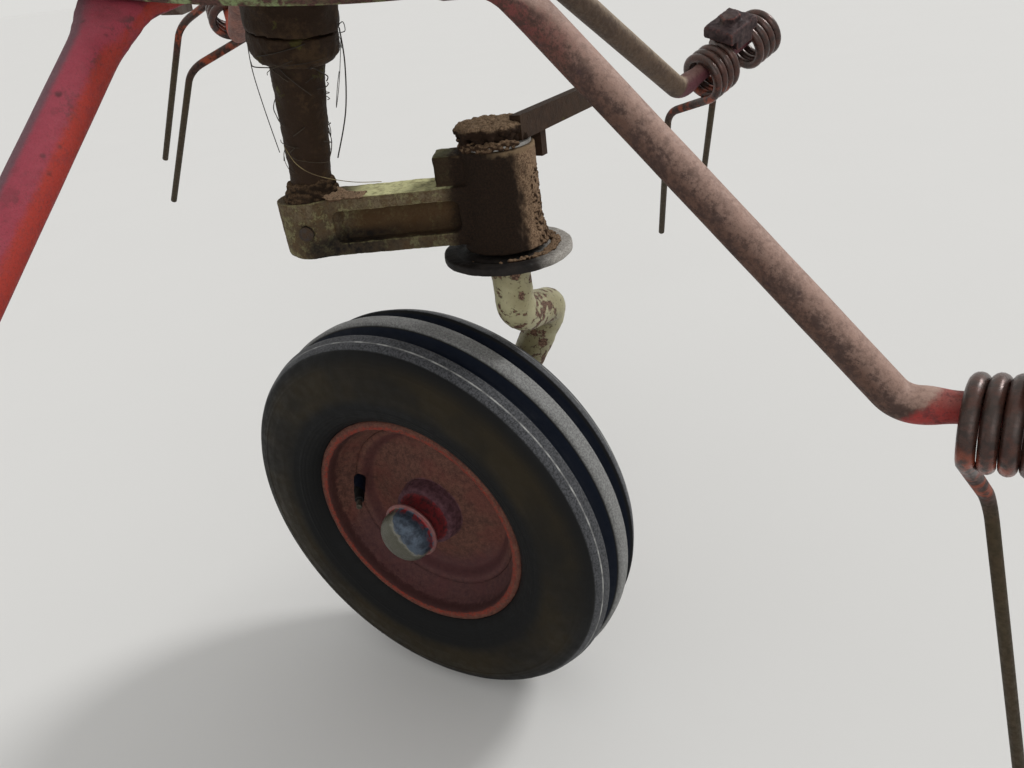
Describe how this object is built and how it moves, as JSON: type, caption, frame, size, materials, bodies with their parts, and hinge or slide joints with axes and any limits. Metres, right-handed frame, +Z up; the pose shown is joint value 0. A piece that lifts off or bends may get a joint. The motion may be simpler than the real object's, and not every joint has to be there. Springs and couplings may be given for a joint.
{
  "type": "hay tedder rotor unit with ground wheel",
  "caption": "Rotor of a hay tedder: bevel gearbox with beam flanges, leaning rotor with spring tine arms, offset arm and swivelling ground wheel.",
  "frame": {"origin": "centre of the left beam flange's outer face on the gearbox, on the axis of the beam and cross shaft", "axes": "+Z up, +X the direction of travel, +Y to the left along the beam; the rotor axis leans 13.6 degrees forward from +Z"},
  "size_m": [1.3167, 1.3157, 0.8634],
  "materials": {
    "green_casting": "worn gloss",
    "green_plate": "worn gloss",
    "greasy_steel": "greasy",
    "olive_casting": "dusty",
    "olive_tube": "chipped",
    "bare_steel": "worn",
    "bolt_steel": "weathered",
    "dark_steel": "rusty",
    "red_arm": "faded and rusty",
    "tine_steel": "rusty",
    "clamp_steel": "rusty",
    "tyre": "worn",
    "red_rim": "rusty",
    "cap_steel": "dull",
    "valve_rubber": "matt"
  },
  "bodies": {
    "frame": {"gearbox": "green_casting", "gearbox_cover": "green_casting", "filler_plug": "bare_steel", "post": "greasy_steel", "seal_cup": "greasy_steel", "cast_arm": "olive_casting", "boss_plug": "bare_steel"},
    "cross_shaft": {"cross_shaft": "bare_steel"},
    "rotor": {"rotor_hub": "greasy_steel", "rotor_plate": "green_plate", "plate_bolts": "bolt_steel", "tine_arm_1": "red_arm", "tine_arm_2": "red_arm", "tine_arm_3": "red_arm", "tine_arm_4": "red_arm", "tine_arm_5": "red_arm", "tine_1": "tine_steel", "tine_2": "tine_steel", "tine_3": "tine_steel", "tine_4": "tine_steel", "tine_5": "tine_steel", "tine_clamp_1": "clamp_steel", "tine_clamp_2": "clamp_steel", "tine_clamp_3": "clamp_steel", "tine_clamp_4": "clamp_steel", "tine_clamp_5": "clamp_steel"},
    "swivel": {"swivel_spindle": "greasy_steel", "swivel_washer": "bare_steel", "wheel_flange": "dark_steel", "lever": "dark_steel", "wheel_leg": "olive_tube", "wheel_axle": "dark_steel"},
    "wheel": {"tyre": "tyre", "wheel_rim": "red_rim", "wheel_disc": "red_rim", "wheel_hub": "red_rim", "hub_cap": "cap_steel", "valve": "valve_rubber"}
  },
  "joints": [
    {"name": "rotor_spin", "type": "hinge", "parent": "frame", "child": "rotor", "pos_m": [0, -0.095, 0], "axis": [0.2351, 0, 0.972], "continuous": true},
    {"name": "cross_shaft_spin", "type": "hinge", "parent": "frame", "child": "cross_shaft", "pos_m": [0, -0.095, 0], "axis": [0, 1, 0], "continuous": true},
    {"name": "wheel_steer", "type": "hinge", "parent": "frame", "child": "swivel", "pos_m": [0.03713, 0.00892, -0.31833], "axis": [0, 0, 1], "range_deg": [-20, 20]},
    {"name": "wheel_roll", "type": "hinge", "parent": "swivel", "child": "wheel", "pos_m": [-0.05124, -0.04868, -0.58393], "axis": [0.3181, -0.948, 0], "continuous": true}
  ],
  "couplings": [
    {"joint": "cross_shaft_spin", "follows": "rotor_spin", "ratio": 3}
  ]
}
